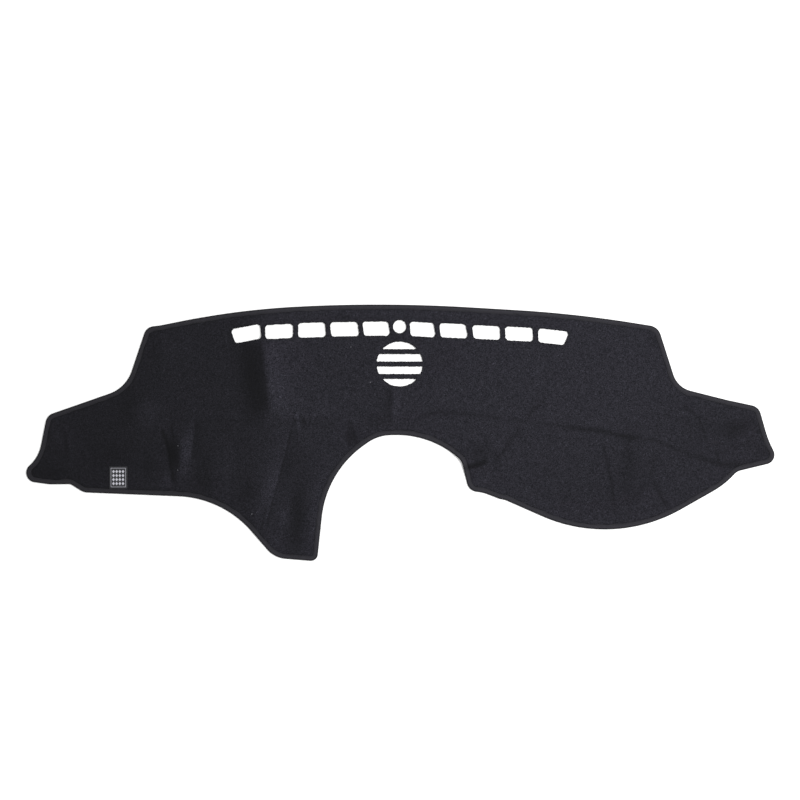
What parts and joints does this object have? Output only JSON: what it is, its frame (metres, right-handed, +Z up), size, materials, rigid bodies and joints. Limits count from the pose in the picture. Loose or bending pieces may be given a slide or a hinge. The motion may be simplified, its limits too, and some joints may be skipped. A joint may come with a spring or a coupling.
{
  "type": "dashboard cover mat",
  "caption": "Fitted felt mat that covers the top of a car dashboard, edge-bound, with cut openings for demister vents, a light sensor and a speaker.",
  "frame": {"origin": "middle of the mat's ground plan, on the flat surface that the mat lies on", "axes": "+X to the right along the dashboard, +Y towards the windscreen edge, +Z up out of the pile side"},
  "size_m": [1.421, 0.4868, 0.0077],
  "materials": {
    "felt": "short-pile needled polyester felt, matt, near black with a cool cast",
    "binding": "woven polyester binding tape, folded and lock-stitched, dull black",
    "label": "woven satin label, black with a plain grey lattice"
  },
  "bodies": {
    "root": {"mat_panel": "felt", "edge_binding": "binding", "corner_label": "label"}
  },
  "joints": []
}
